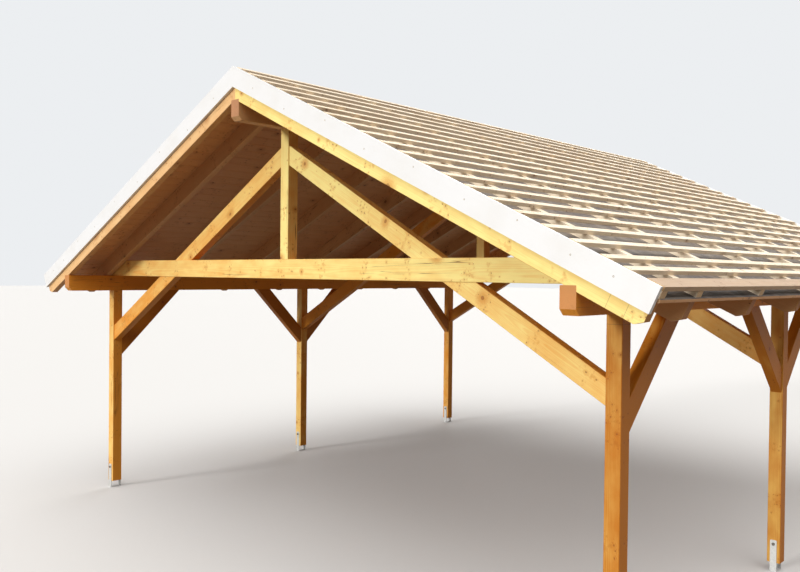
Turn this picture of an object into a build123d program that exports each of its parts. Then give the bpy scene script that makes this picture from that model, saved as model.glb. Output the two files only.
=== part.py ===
from build123d import *
import math
import os

# Open timber-framed carport under a battened couple roof, standing on steel post shoes.
# Millimetres. X runs across, Y runs from the front to the rear, Z runs up from the ground.
# X = 0 is under the ridge, and Y = 0 is halfway between the front and the rear posts.

# Plan
post_row_spacing = 6000.0       # the two rows of posts, centre to centre
front_bay = 2590.0              # front post to middle post, centre to centre
rear_bay = 2975.0               # middle post to rear post, centre to centre
verge_overhang = 485.0          # post face to the outer face of the verge rafter
eaves_overhang_width = 360.0    # eave purlin face to the rafter's tail, level
roof_pitch = 25.0               # degrees

# Posts and their shoes
post_size = 100.0
post_foot_height = 70.0         # ground to the post's end grain
post_length = 2060.0
strap_width = 50.0
strap_thickness = 5.0
strap_grip_length = 180.0       # post end to the top of the strap
strap_corner = 6.0
crossbar_thickness = 6.0

# Purlins, tie beams and king posts
purlin_width = 100.0
purlin_depth = 160.0
ridge_purlin_width = 100.0
ridge_purlin_depth = 160.0
purlin_end_bevel = 35.0
ridge_end_bevel = 30.0
tie_width = 100.0
tie_depth = 160.0
king_post_size = 100.0

# Diagonals of the trusses and knee braces under the purlins
diagonal_thickness = 80.0
diagonal_depth = 140.0
diagonal_head_drop = 140.0      # ridge purlin's underside to the diagonal's upper edge
diagonal_foot_drop = 371.0      # eave purlin's underside to the diagonal's upper edge
brace_thickness = 80.0
brace_depth = 140.0
brace_reach = 600.0             # post face to where the brace's middle meets the purlin

# Rafters
rafter_width = 60.0
rafter_depth = 150.0
birdsmouth_heel = 36.0          # depth of the notch at the purlin's outer face
rafter_setoff = 95.0            # middle of a truss to the middle of the rafter before it
front_bay_spaces = 3            # rafter spaces in the front bay
rear_bay_spaces = 4             # rafter spaces in the rear bay
tail_bevel_length = 48.0
tail_bevel_rise = 36.0

# Roof covering, in the order that it is laid
sheathing_thickness = 20.0
sheathing_lap = 28.0            # beyond the rafter's tail
underlay_thickness = 1.0
counter_batten_width = 60.0
counter_batten_height = 40.0
counter_batten_lap = 18.0       # beyond the rafter's tail
batten_width = 50.0
batten_height = 24.0
batten_pitch = 196.0
ridge_batten_setback = 26.0     # ridge line to the top batten, down its upper face
first_course = 230.0            # ridge line to the lower edge of the first full course
eaves_board_width = 100.0
eaves_board_height = 24.0
eaves_board_lap = 21.0          # beyond the rafter's tail
eave_batten_gap = 89.0          # clear space between the eaves board and the last batten
barge_board_thickness = 25.0
barge_board_depth = 145.0
barge_board_top_gap = 3.0       # batten tops stand this far above the board's edge
barge_board_lap = 14.0          # beyond the rafter's tail

arris = 3.0                     # chamfer planed on the long edges of the frame timbers
shortest_eased_length = 200.0   # shorter edges, at the joints, stay sharp

# Directions of the slope, and the heights that follow from the sizes above
slope = math.radians(roof_pitch)
post_top = post_foot_height + post_length
purlin_top = post_top + purlin_depth
tie_top = purlin_top + tie_depth
row_x = post_row_spacing / 2
purlin_face_x = row_x + purlin_width / 2
apex_z = purlin_top - birdsmouth_heel + purlin_face_x * math.tan(slope)
ridge_underside = apex_z - ridge_purlin_depth
tail_u = (purlin_face_x + eaves_overhang_width) / math.cos(slope)

# Heights of the roof's layers, square to the slope, above the rafters' underside
sheathing_top = rafter_depth + sheathing_thickness
underlay_top = sheathing_top + underlay_thickness
counter_batten_top = underlay_top + counter_batten_height
batten_top = counter_batten_top + batten_height
barge_board_top = batten_top - barge_board_top_gap

# Lines across the building
front_y = -(front_bay + rear_bay) / 2
middle_y = front_y + front_bay
rear_y = middle_y + rear_bay
verge_y = rear_y + post_size / 2 + verge_overhang
truss_lines = {"front": front_y, "middle": middle_y, "rear": rear_y}


def slope_point(u, v):
    """Point (x, z) of the right slope, u down the rafters' underside and v square to it."""
    x = u * math.cos(slope) + v * math.sin(slope)
    z = apex_z - u * math.sin(slope) + v * math.cos(slope)
    return (x, z)


def ridge_point(v):
    """Point (x, z) on the ridge plane at the height v of the slope."""
    return (0.0, apex_z + v / math.cos(slope))


def down_from_ridge(distance, v):
    """The slope's u at a distance down from the ridge line, measured at the height v."""
    return distance - v * math.tan(slope)


def prism_along_y(outline, y_from, y_to):
    """Solid with an outline of (x, z) points, from y_from to y_to."""
    face = Face(Wire.make_polygon([Vector(x, y_from, z) for x, z in outline]))
    return extrude(face, amount=y_to - y_from, dir=(0, 1, 0)).solid()


def prism_along_x(outline, x_from, x_to):
    """Solid with an outline of (y, z) points, from x_from to x_to."""
    face = Face(Wire.make_polygon([Vector(x_from, y, z) for y, z in outline]))
    return extrude(face, amount=x_to - x_from, dir=(1, 0, 0)).solid()


def ease(timber, direction):
    """Plane the long edges of a timber that run in one direction."""
    run = Axis((0, 0, 0), direction)
    edges = timber.edges().filter_by(run)
    edges = [edge for edge in edges if edge.length > shortest_eased_length]
    return chamfer(edges, arris).solid()


def left_of(solid):
    """The same solid on the left side of the ridge."""
    return mirror(solid, about=Plane.YZ).solid()


def make_post(y):
    """Post of the right row, square and eased, resting on its shoe."""
    post = Box(
        post_size,
        post_size,
        post_length,
        align=(Align.CENTER, Align.CENTER, Align.MIN),
    )
    post = Pos(row_x, y, post_foot_height) * post
    return ease(post.solid(), (0, 0, 1))


def make_post_shoe(y):
    """Steel shoe: two straps on the post's faces and a crossbar under its end."""
    strap_height = post_foot_height + strap_grip_length
    half = strap_width / 2
    outline = [
        (row_x - half, 0),
        (row_x + half, 0),
        (row_x + half, strap_height - strap_corner),
        (row_x + half - strap_corner, strap_height),
        (row_x - half + strap_corner, strap_height),
        (row_x - half, strap_height - strap_corner),
    ]
    face_offset = post_size / 2
    front_strap = prism_along_y(outline, y - face_offset - strap_thickness, y - face_offset)
    rear_strap = prism_along_y(outline, y + face_offset, y + face_offset + strap_thickness)
    crossbar = Box(
        strap_width,
        post_size,
        crossbar_thickness,
        align=(Align.CENTER, Align.CENTER, Align.MAX),
    )
    crossbar = Pos(row_x, y, post_foot_height) * crossbar
    return (front_strap + crossbar + rear_strap).solid()


def make_purlin(x, underside, width, depth, bevel):
    """Purlin along the building, with the lower arris of each end cut back."""
    outline = [
        (-verge_y, underside + bevel),
        (-verge_y + bevel, underside),
        (verge_y - bevel, underside),
        (verge_y, underside + bevel),
        (verge_y, underside + depth),
        (-verge_y, underside + depth),
    ]
    purlin = prism_along_x(outline, x - width / 2, x + width / 2)
    return ease(purlin, (0, 1, 0))


def diagonal_outline():
    """Outline (x, z) of the right diagonal, from the king post to the post."""
    head_x = king_post_size / 2
    foot_x = row_x - post_size / 2
    head_z = ridge_underside - diagonal_head_drop
    foot_z = post_top - diagonal_foot_drop
    run = math.atan2(head_z - foot_z, foot_x - head_x)
    plumb_depth = diagonal_depth / math.cos(run)
    return [
        (head_x, head_z),
        (head_x, head_z - plumb_depth),
        (foot_x, foot_z - plumb_depth),
        (foot_x, foot_z),
    ]


def make_diagonal(y):
    """Right diagonal, halved over the tie beam so that the tie passes in front."""
    outline = diagonal_outline()
    half = diagonal_thickness / 2
    (head_x, head_z), (foot_x, foot_z) = outline[0], outline[3]
    timber = prism_along_y(outline, y - half, y + half)
    timber = ease(timber, (foot_x - head_x, 0, foot_z - head_z))
    housing = Pos(row_x / 2, y - half, purlin_top) * Box(
        row_x,
        diagonal_thickness,
        tie_depth,
        align=(Align.CENTER, Align.CENTER, Align.MIN),
    )
    return (timber - housing).solid()


def make_tie_beam(y):
    """Tie beam on the eave purlins, cut under the sheathing and notched for the diagonals."""
    half = tie_width / 2
    outline = [
        (-purlin_face_x, purlin_top),
        (purlin_face_x, purlin_top),
        (purlin_face_x, tie_top),
        (-purlin_face_x, tie_top),
    ]
    tie = ease(prism_along_y(outline, y - half, y + half), (1, 0, 0))
    eaves_x, eaves_z = slope_point(tail_u, rafter_depth)
    ridge_x, ridge_z = ridge_point(rafter_depth)
    roof = [(ridge_x, ridge_z), (eaves_x, eaves_z), (eaves_x, ridge_z)]
    above_roof = prism_along_y(roof, y - tie_width, y + tie_width)
    notch = prism_along_y(diagonal_outline(), y, y + tie_width)
    for cut in (above_roof, notch):
        tie = tie - cut - left_of(cut)
    return tie.solid()


def make_king_post(y):
    """King post from the tie beam up to the ridge purlin."""
    post = Box(
        king_post_size,
        king_post_size,
        ridge_underside - tie_top,
        align=(Align.CENTER, Align.CENTER, Align.MIN),
    )
    return ease((Pos(0, y, tie_top) * post).solid(), (0, 0, 1))


def make_knee_brace(y, direction):
    """Knee brace at 45 degrees, from the post at y up to the purlin, in one direction."""
    face_y = y + direction * post_size / 2
    half = brace_depth / 2 / math.cos(math.radians(45))
    outline = [
        (face_y, post_top - brace_reach - half),
        (face_y, post_top - brace_reach + half),
        (face_y + direction * (brace_reach - half), post_top),
        (face_y + direction * (brace_reach + half), post_top),
    ]
    brace = prism_along_x(outline, row_x - brace_thickness / 2, row_x + brace_thickness / 2)
    return ease(brace, (0, direction, 1))


def make_rafter(y):
    """Rafter of the right slope: ridge seat, birdsmouth over the purlin, bevelled tail."""
    seat_x = (apex_z - purlin_top) / math.tan(slope)
    ridge_x = ridge_purlin_width / 2
    outline = [
        ridge_point(0),
        (ridge_x, apex_z),
        (ridge_x, apex_z - ridge_x * math.tan(slope)),
        (seat_x, purlin_top),
        (purlin_face_x, purlin_top),
        (purlin_face_x, purlin_top - birdsmouth_heel),
        slope_point(tail_u - tail_bevel_length, 0),
        slope_point(tail_u, tail_bevel_rise),
        slope_point(tail_u, rafter_depth),
        ridge_point(rafter_depth),
    ]
    rafter = prism_along_y(outline, y - rafter_width / 2, y + rafter_width / 2)
    return ease(rafter, (math.cos(slope), 0, -math.sin(slope)))


def make_layer(v_from, v_to, u_end, y_from, y_to):
    """Layer of the right slope between two heights, plumb at the ridge, square at the eaves."""
    outline = [
        ridge_point(v_from),
        slope_point(u_end, v_from),
        slope_point(u_end, v_to),
        ridge_point(v_to),
    ]
    return prism_along_y(outline, y_from, y_to)


def make_lath(u_lower, width, height):
    """Lath along the building on top of the counter-battens, its lower edge at u_lower."""
    outline = [
        slope_point(u_lower - width, counter_batten_top),
        slope_point(u_lower, counter_batten_top),
        slope_point(u_lower, counter_batten_top + height),
        slope_point(u_lower - width, counter_batten_top + height),
    ]
    return prism_along_y(outline, -verge_y, verge_y)


def rafter_lines():
    """Middle lines of the rafters between the two verges."""
    front_step = front_bay / front_bay_spaces
    rear_step = rear_bay / rear_bay_spaces
    lines = [front_y - rafter_setoff + front_step * index for index in range(front_bay_spaces)]
    lines += [middle_y - rafter_setoff + rear_step * index for index in range(rear_bay_spaces)]
    return lines + [rear_y - rafter_setoff]


def make_counter_battens():
    """Counter-battens of the right slope, one over every rafter."""
    outer = verge_y - counter_batten_width / 2
    lines = [-outer] + rafter_lines() + [outer]
    half = counter_batten_width / 2
    end = tail_u + counter_batten_lap
    return [make_layer(underlay_top, counter_batten_top, end, y - half, y + half) for y in lines]


def make_battens():
    """Battens of the right slope: the ridge batten, the even courses and the eave batten."""
    ridge_edge = down_from_ridge(ridge_batten_setback, batten_top) + batten_width
    first_edge = down_from_ridge(first_course, batten_top)
    last_edge = tail_u + eaves_board_lap - eaves_board_width - eave_batten_gap
    even_run = last_edge - first_edge - batten_width * 2
    courses = int(even_run / batten_pitch) + 1
    edges = [ridge_edge] + [first_edge + batten_pitch * index for index in range(courses)]
    return [make_lath(edge, batten_width, batten_height) for edge in edges + [last_edge]]


def make_barge_board(y_from, y_to):
    """Barge board of the right slope on the verge rafter's outer face."""
    bottom = barge_board_top - barge_board_depth
    return make_layer(bottom, barge_board_top, tail_u + barge_board_lap, y_from, y_to)


def build_nodes():
    """All pieces of the carport, by the name of their node."""
    nodes = {}
    verge_rafter_y = verge_y - rafter_width / 2
    braces = [
        make_knee_brace(front_y, 1),
        make_knee_brace(middle_y, -1),
        make_knee_brace(middle_y, 1),
        make_knee_brace(rear_y, -1),
    ]
    eave_purlin = make_purlin(row_x, post_top, purlin_width, purlin_depth, purlin_end_bevel)
    eaves_board = make_lath(tail_u + eaves_board_lap, eaves_board_width, eaves_board_height)
    sheathing_end = tail_u + sheathing_lap
    right = {
        "post_shoes": [make_post_shoe(y) for y in truss_lines.values()],
        "eave_purlin": [eave_purlin],
        "knee_braces": braces,
        "verge_rafter_front": [make_rafter(-verge_rafter_y)],
        "verge_rafter_rear": [make_rafter(verge_rafter_y)],
        "rafters": [make_rafter(y) for y in rafter_lines()],
        "sheathing": [make_layer(rafter_depth, sheathing_top, sheathing_end, -verge_y, verge_y)],
        "underlay": [make_layer(sheathing_top, underlay_top, sheathing_end, -verge_y, verge_y)],
        "counter_battens": make_counter_battens(),
        "battens": make_battens(),
        "eaves_board": [eaves_board],
        "barge_board_front": [make_barge_board(-verge_y - barge_board_thickness, -verge_y)],
        "barge_board_rear": [make_barge_board(verge_y, verge_y + barge_board_thickness)],
    }
    for place, y in truss_lines.items():
        right["post_" + place] = [make_post(y)]
        right["diagonal_" + place] = [make_diagonal(y)]
        nodes["tie_beam_" + place] = [make_tie_beam(y)]
        nodes["king_post_" + place] = [make_king_post(y)]
    nodes["ridge_purlin"] = [
        make_purlin(0, ridge_underside, ridge_purlin_width, ridge_purlin_depth, ridge_end_bevel)
    ]
    for name, solids in right.items():
        nodes[name + "_right"] = solids
        nodes[name + "_left"] = [left_of(solid) for solid in solids]
    return nodes


def write_steps(nodes):
    """Write one STEP file for each node."""
    os.makedirs("parts", exist_ok=True)
    for name, solids in nodes.items():
        shape = solids[0] if len(solids) == 1 else Compound(solids)
        shape.label = name
        export_step(shape, os.path.join("parts", name + ".step"))


write_steps(build_nodes())
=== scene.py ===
"""Looks of an open timber carport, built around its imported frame."""

import logging
import math
import random
from collections.abc import Callable
from dataclasses import dataclass, replace
from enum import Enum

import bmesh
import bpy
from bmesh.types import BMesh
from bpy.types import ID, Material, Mesh, Node, NodeSocket, NodeTree, Object
from mathutils import Matrix, Vector

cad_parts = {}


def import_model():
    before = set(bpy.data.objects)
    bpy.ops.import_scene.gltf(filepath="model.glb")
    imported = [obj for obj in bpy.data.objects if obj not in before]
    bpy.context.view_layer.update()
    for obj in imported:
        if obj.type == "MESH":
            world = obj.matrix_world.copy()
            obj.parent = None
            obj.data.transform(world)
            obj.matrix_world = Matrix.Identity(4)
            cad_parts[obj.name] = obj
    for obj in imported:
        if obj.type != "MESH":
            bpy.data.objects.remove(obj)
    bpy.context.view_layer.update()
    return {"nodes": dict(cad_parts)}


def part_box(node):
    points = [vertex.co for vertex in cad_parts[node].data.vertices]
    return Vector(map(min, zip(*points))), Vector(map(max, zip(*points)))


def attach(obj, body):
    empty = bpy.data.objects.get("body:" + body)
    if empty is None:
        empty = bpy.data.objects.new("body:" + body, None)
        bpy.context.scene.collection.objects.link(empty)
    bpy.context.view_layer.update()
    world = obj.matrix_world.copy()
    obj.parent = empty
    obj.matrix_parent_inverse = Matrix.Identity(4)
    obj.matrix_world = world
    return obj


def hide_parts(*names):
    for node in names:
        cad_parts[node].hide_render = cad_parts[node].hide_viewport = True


log = logging.getLogger("carport")

BODY = "root"
ALONG_Y = Vector((0, 1, 0))
HALVES = (0.5, 0.5, 0.5)


def srgb(red: float, green: float, blue: float) -> tuple:
    """Linear colour, with an alpha of 1, of a screen colour given from 0 to 255."""
    linear = [((value / 255 + 0.055) / 1.055) ** 2.4 for value in (red, green, blue)]
    return (*linear, 1.0)


PENCIL_LINE = srgb(96, 70, 52)
PENCIL_STRENGTH = 0.45
PENCIL_EDGES = (0.0008, 0.0022)
DUST_COLOUR = srgb(176, 158, 132)
SPECK_COLOUR = srgb(120, 88, 52)


def reckoning(operation: str) -> Callable:
    """Method of a value that reckons one operation on it and on what stands beside it.

    Args:
        operation: the node's operation.

    Returns:
        The method.
    """

    def method(self: "Value", *others: object) -> "Value":
        """Result of the operation."""
        return self.graph.math(operation, self, *others)

    return method


class Value:
    """Output of a node, reckoned with as a number or a vector."""

    __add__ = reckoning("ADD")
    __sub__ = reckoning("SUBTRACT")
    __truediv__ = reckoning("DIVIDE")
    __abs__ = reckoning("ABSOLUTE")
    __gt__ = reckoning("GREATER_THAN")
    __lt__ = reckoning("LESS_THAN")

    def __init__(self, graph: "Graph", socket: NodeSocket) -> None:
        """Keep the output and its graph.

        Args:
            graph: graph that the node is in.
            socket: the node's output.
        """
        self.graph = graph
        self.socket = socket
        self.is_vector = socket.type in ("VECTOR", "RGBA")

    def __getitem__(self, key: str | int) -> "Value":
        """Another output of the same node, by name or number."""
        return Value(self.graph, self.socket.node.outputs[key])

    def __rsub__(self, other: object) -> "Value":
        """A plain number less this."""
        return self.graph.math("SUBTRACT", other, self)

    def __mul__(self, other: object) -> "Value":
        """This times a number, or a vector times three numbers part by part.

        Args:
            other: a value, a plain number or three numbers.

        Returns:
            The product.
        """
        if self.is_vector and not isinstance(other, tuple):
            values = {0: self, "Scale": other}
            return self.graph.add("ShaderNodeVectorMath", values, operation="SCALE")
        return self.graph.math("MULTIPLY", self, other)

    def between(self, low: float, high: float) -> "Value":
        """Smooth step, 0 at low and 1 at high."""
        values = {0: self, 1: low, 2: high, 3: 0.0, 4: 1.0}
        return self.graph.add("ShaderNodeMapRange", values, interpolation_type="SMOOTHSTEP")

    def split(self) -> tuple["Value", "Value", "Value"]:
        """The x, y and z of a vector."""
        x = self.graph.add("ShaderNodeSeparateXYZ", {0: self})
        return x, x[1], x[2]


class Graph:
    """Short way to write a shader or geometry node tree."""

    def __init__(self, tree: NodeTree, result: Node) -> None:
        """Start a graph.

        Args:
            tree: tree that the nodes go into.
            result: node that ends the tree.
        """
        self.tree = tree
        self.result = result
        self.given: Value | None = None

    def __getitem__(self, name: str) -> Value:
        """One input of the group."""
        return self.given[name]

    def add(self, kind: str, values: dict | None = None, **settings: object) -> Value:
        """Add one node.

        Args:
            kind: the node's type name.
            values: value of each input, by name or number.
            settings: attributes of the node, set before its inputs.

        Returns:
            The node's first output.
        """
        node = self.tree.nodes.new(kind)
        for name, value in settings.items():
            setattr(node, name, value)
        for key, value in (values or {}).items():
            self.feed(node.inputs[key], value)
        return Value(self, node.outputs[0])

    def feed(self, socket: NodeSocket, value: object) -> None:
        """Link a node's output to an input, or set the input's own value.

        Args:
            socket: the input.
            value: the output of a node, or a plain value.
        """
        if isinstance(value, Value):
            self.tree.links.new(value.socket, socket)
        else:
            socket.default_value = value

    def give(self, values: dict[str, object]) -> NodeTree:
        """Feed the node that ends the tree.

        Args:
            values: value of each of its inputs.

        Returns:
            The whole tree.
        """
        for name, value in values.items():
            self.feed(self.result.inputs[name], value)
        return self.tree

    def math(self, operation: str, *values: object, **settings: object) -> Value:
        """Result of a Math node, or of a Vector Math node where a value is a vector.

        Args:
            operation: the node's operation.
            values: value of each input in turn.
            settings: attributes of the node.

        Returns:
            The number or vector that comes out.
        """
        is_vector = any(isinstance(value, Value) and value.is_vector for value in values)
        kind = "ShaderNodeVectorMath" if is_vector else "ShaderNodeMath"
        result = self.add(kind, dict(enumerate(values)), operation=operation, **settings)
        return result[1] if operation == "LENGTH" else result

    def most(self, first: Value, second: object) -> Value:
        """The greater of two values."""
        return self.math("MAXIMUM", first, second)

    def joined(self, x: object, y: object, z: object) -> Value:
        """A vector of three numbers."""
        return self.add("ShaderNodeCombineXYZ", {0: x, 1: y, 2: z})

    def even(self, value: Value) -> Value:
        """A vector, or a grey, of one number three times."""
        return self.joined(value, value, value)

    def mixed(self, factor: object, first: object, second: object, blend: str = "MIX") -> Value:
        """Mix of two colours, the first at a factor of 0."""
        values = {0: factor, 6: first, 7: second}
        return self.add("ShaderNodeMix", values, data_type="RGBA", blend_type=blend)[2]

    def noise(self, vector: Value, scale: float = 1.0, detail: float = 2.0) -> Value:
        """Noise, its number as output 0 and its colour as output 1."""
        return self.add("ShaderNodeTexNoise", {"Vector": vector, "Scale": scale, "Detail": detail})

    def spots(self, values: dict[str, object], dimensions: str = "3D") -> Value:
        """Voronoi texture, its distance as output 0, with Color and Position beside it."""
        return self.add("ShaderNodeTexVoronoi", values, voronoi_dimensions=dimensions)

    def group(self, tree: NodeTree, values: dict[str, object]) -> Value:
        """Place a shader group with its values."""
        return self.add("ShaderNodeGroup", values, node_tree=tree)

    def finished(self, geometry: Value) -> NodeTree:
        """End a geometry tree with real meshes that have their finish.

        Args:
            geometry: what the tree has made.

        Returns:
            The whole tree.
        """
        real = self.add("GeometryNodeRealizeInstances", {"Geometry": geometry})
        values = {"Geometry": real, "Material": self["Finish"]}
        return self.give({"Geometry": self.add("GeometryNodeSetMaterial", values)})


def new_group(name: str, kind: str, inputs: dict[str, str], outputs: dict[str, str]) -> Graph:
    """Empty node group with its sockets.

    Args:
        name: name of the group.
        kind: Shader or Geometry.
        inputs: names of the inputs of each socket type, with commas between.
        outputs: names of the outputs in the same way.

    Returns:
        The graph of the group.
    """
    tree = bpy.data.node_groups.new(name, kind + "NodeTree")
    for way, sockets in (("INPUT", inputs), ("OUTPUT", outputs)):
        for socket, labels in sockets.items():
            for label in labels.split(", "):
                tree.interface.new_socket(name=label, in_out=way, socket_type="NodeSocket" + socket)
    graph = Graph(tree, tree.nodes.new("NodeGroupOutput"))
    graph.given = graph.add("NodeGroupInput")
    return graph


def geometry_group(name: str, inputs: dict[str, str]) -> Graph:
    """Empty geometry group that takes a finish besides the inputs given by their type."""
    inputs = {"Geometry": "Geometry"} | inputs | {"Material": "Finish"}
    return new_group(name, "Geometry", inputs, {"Geometry": "Geometry"})


def new_material(name: str) -> tuple[Material, Graph]:
    """New material with its own graph.

    Args:
        name: name of the material.

    Returns:
        The material, and a graph that ends in its Principled shader.
    """
    material = bpy.data.materials.new(name)
    material.use_nodes = True
    return material, Graph(material.node_tree, material.node_tree.nodes["Principled BSDF"])


class ShaderGroups:
    """The effects that several finishes share, each built once."""

    def __init__(self) -> None:
        """Build every group."""
        self.cells = self._build_cells()
        self.figure = self._build_figure()
        self.dust = self._build_dust()

    @staticmethod
    def _build_cells() -> NodeTree:
        """Number the like pieces that lie side by side along X, and centre each on its own X.

        Returns:
            The tree of the group.
        """
        inputs = {"Vector": "Vector", "Float": "Start, Pitch"}
        graph = new_group("like_pieces", "Shader", inputs, {"Vector": "Vector", "Float": "Index"})
        x, y, z = graph["Vector"].split()
        along = (x - graph["Start"]) / graph["Pitch"]
        index = graph.math("FLOOR", along)
        local = (along - index - 0.5) * graph["Pitch"]
        return graph.give({"Vector": graph.joined(local, y, z), "Index": index})

    @staticmethod
    def _knots(graph: Graph, face: Value, cell: float, share: object, size: Value) -> tuple:
        """Knots scattered over a face.

        Args:
            graph: the graph of the group.
            face: place on the face, in metres.
            cell: mean distance from knot to knot.
            share: share of the places that have a knot.
            size: radius of a middling knot.

        Returns:
            The masks of the knots, of their rims and of the wood around them.
        """
        spread = face * (1.0 / cell)
        spot = graph.spots({"Vector": spread, "Scale": 1.0, "Randomness": 0.9}, "2D")
        gap_x, gap_y, _ = ((spread - spot["Position"]) * cell).split()
        wide, present, oval = spot["Color"].split()
        away = graph.math("LENGTH", graph.joined(gap_x, gap_y * (oval * 0.7 + 0.6), 0.0))
        away = away * (graph.noise(face, 130.0) * 0.9 + 0.55)
        radius = size * (wide * 1.1 + 0.45) * (present < share)
        ratio = away / (radius + 0.00001)
        core = 1.0 - ratio.between(0.6, 1.1)
        return core, ratio.between(0.5, 0.85) * core, 1.0 - ratio.between(1.0, 5.0)

    @classmethod
    def _build_figure(cls) -> NodeTree:
        """Growth rings, fibres, knots and checks of a sawn timber with its grain along Z.

        Returns:
            The tree of the group.
        """
        graph = new_group(
            "timber_figure",
            "Shader",
            {
                "Vector": "Vector, Normal",
                "Float": "Index, Seed, Tone, Fade, Ring Width, Rings, Blotches, Knot Size, Checks",
                "Color": "Light, Dark, Knot, End",
            },
            {"Color": "Color", "Float": "Roughness, Height"},
        )
        number = graph["Index"] * 7.31 + graph["Seed"]
        chance = graph.add("ShaderNodeTexWhiteNoise", {"W": number}, noise_dimensions="1D")[1]
        chance_x, chance_y, chance_z = chance.split()
        place = graph["Vector"] + chance * 43.0
        x, y, z = graph["Vector"].split()

        # The face that a point lies on, with its own strip of knots
        aim_x, aim_y, aim_z = graph["Normal"].split()
        end_face = abs(aim_z).between(0.82, 0.9)
        on_x = abs(aim_x) > abs(aim_y)
        face_number = on_x * 2.0 + (aim_x + aim_y > 0.0)
        across = x + on_x * (y - x) + (chance_x * 19.0 + 3.0) + face_number * 2.37
        face = graph.joined(across, chance_y * 23.0 + z, 0.0)
        large, large_rim, by_large = cls._knots(graph, face, cell=0.36, share=0.55, size=graph["Knot Size"])

        # Whorls of small knots across the timber, with ruddy wood about them
        level = graph.noise(face, 11.0) * 0.26 + face.split()[1]
        whorl = graph.spots({"W": level, "Scale": 2.3, "Randomness": 0.85}, "1D")
        band = 1.0 - whorl.between(0.02, 0.14)
        values = {"cell": 0.036, "share": band * 0.6 + 0.03, "size": graph["Knot Size"] * 0.33}
        pins, pin_rim, by_pins = cls._knots(graph, face, **values)
        rim = graph.most(pin_rim, large_rim)
        patch = band * graph.noise(face, 26.0, 3.0).between(0.5, 0.66) * 0.7
        halo = graph.most(patch, graph.most(by_pins * 0.5, by_large))

        # Growth rings about a pith that lies in or beside the timber
        sway = (graph.noise(place * (1.6, 1.6, 0.45))[1] - HALVES) * 0.06
        pith = (chance - HALVES) * 0.36
        wood_x, wood_y, _ = (graph["Vector"] + pith + sway).split()
        radius = graph.math("LENGTH", graph.joined(wood_x, wood_y, 0.0))
        turn = graph.math("FRACT", (radius + halo * 0.010) / graph["Ring Width"])
        late = turn.between(0.2, 0.9) * (1.0 - turn.between(0.92, 1.0))

        streak = graph.noise(place * (46.0, 46.0, 0.9), detail=4.0)
        fibre = graph.noise(place * (420.0, 420.0, 9.0))
        blotch = graph.noise(place * (9.0, 9.0, 4.5), detail=3.0)
        crack = abs(graph.noise(place * (24.0, 24.0, 0.5), detail=3.0) - 0.5)
        dry = graph.noise(place * (3.0, 3.0, 0.8)).between(0.56, 0.62)
        crack = (1.0 - crack.between(0.002, 0.009)) * dry * graph["Checks"]

        # Early wood to late wood, then knots, checks and end grain over it
        depth = (late - 0.4) * graph["Rings"] + (streak - 0.5) * 0.35
        depth = depth + (blotch - 0.5) * graph["Blotches"] + (chance_z - 0.5) * 0.16
        depth = graph.math("ADD", depth + z * graph["Fade"], graph["Tone"], use_clamp=True)
        colour = graph.mixed(depth, graph["Light"], graph["Dark"])
        colour = graph.mixed(1.0, colour, graph.even(fibre * 0.16 + 0.92), "MULTIPLY")
        dark_rim = graph.mixed(0.45, graph["Knot"], (0.0, 0.0, 0.0, 1.0))
        end = graph.even((late * -0.3 + 1.05) * (blotch * 0.35 + 0.82))
        layers = (
            (halo * 0.62, graph.mixed(0.3, graph["Dark"], graph["Knot"])),
            (graph.most(pins, large) * 0.58, graph["Knot"]),
            (rim * 0.36, dark_rim),
            (crack * 0.7, dark_rim),
            (end_face * 0.85, graph.mixed(1.0, graph["End"], end, "MULTIPLY")),
        )
        for mask, tint in layers:
            colour = graph.mixed(mask, colour, tint)

        height = late * 0.22 + fibre * 0.3 + streak * 0.35 - crack * 1.6 - rim * 0.4
        rough = fibre * 0.22 + 0.46 + end_face * 0.2
        return graph.give({"Color": colour, "Roughness": rough, "Height": height})

    @staticmethod
    def _build_dust() -> NodeTree:
        """Thin site dust and fallen specks over a colour.

        Returns:
            The tree of the group.
        """
        inputs = {"Vector": "Vector", "Color": "Color, Dust, Speck", "Float": "Amount, Specks"}
        graph = new_group("site_dust", "Shader", inputs, {"Color": "Color", "Float": "Mask"})
        cloud = graph.noise(graph["Vector"], 2.4, 5.0).between(0.35, 0.75)
        fine = graph.noise(graph["Vector"], 70.0, 3.0).between(0.3, 0.7)
        film = cloud * fine * graph["Amount"]
        spot = graph.spots({"Vector": graph["Vector"], "Scale": 22.0})
        spot_x, spot_y, _ = spot["Color"].split()
        speck = (spot < (spot_y > 0.8) * 0.12 * spot_x + 0.0001) * graph["Specks"]
        colour = graph.mixed(film, graph["Color"], graph["Dust"])
        colour = graph.mixed(speck, colour, graph["Speck"])
        return graph.give({"Color": colour, "Mask": graph.most(film, speck)})


class Side(Enum):
    """Slope of the roof, with its direction along X."""

    LEFT = -1
    RIGHT = 1

    @property
    def word(self) -> str:
        """Name of the side as the nodes have it."""
        return self.name.lower()


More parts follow.
